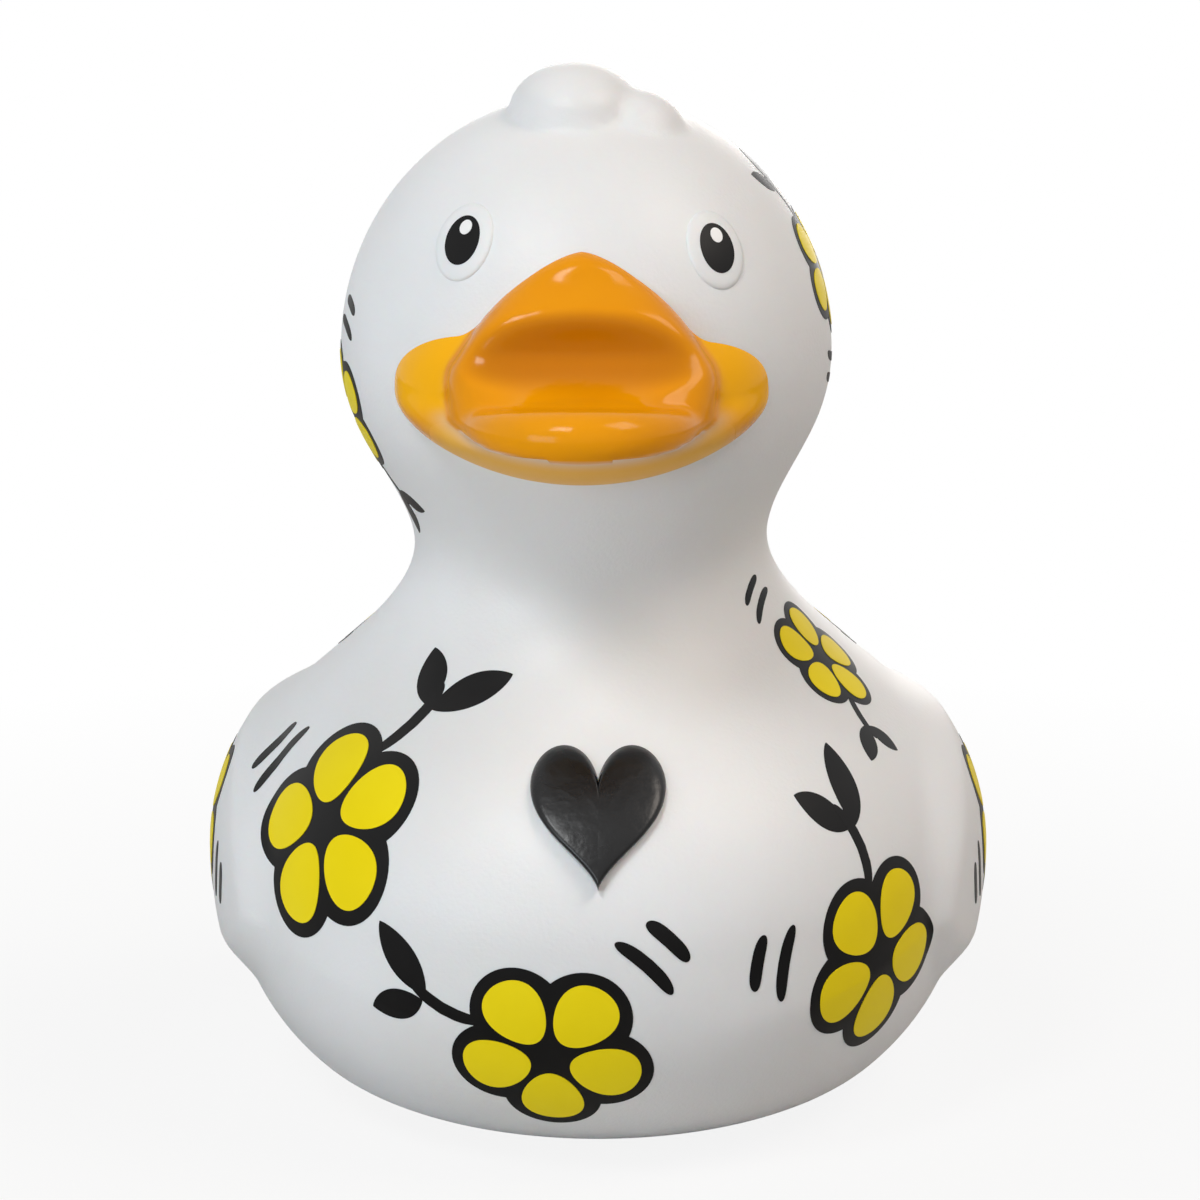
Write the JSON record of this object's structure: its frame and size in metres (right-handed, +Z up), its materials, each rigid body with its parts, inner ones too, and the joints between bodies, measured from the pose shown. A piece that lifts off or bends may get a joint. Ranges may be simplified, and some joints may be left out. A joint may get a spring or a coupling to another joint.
{
  "type": "rubber duck",
  "caption": "Squeaky bath duck with a rolled-lip bill, raised wings, a tufted crown, an upturned tail and a raised heart on the chest; a plug whistle closes its base.",
  "frame": {"origin": "on the ground plane, under the middle of the duck's bounding box", "axes": "+Z up out of the flat base; the duck looks along -Y; +X is on the right of a viewer who faces the duck"},
  "size_m": [0.0764, 0.0898, 0.0998],
  "materials": {
    "vinyl": "soft satin white vinyl, printed and part painted",
    "whistle": "off-white hard plastic"
  },
  "bodies": {
    "root": {"duck": "vinyl", "whistle": "whistle"}
  },
  "joints": []
}
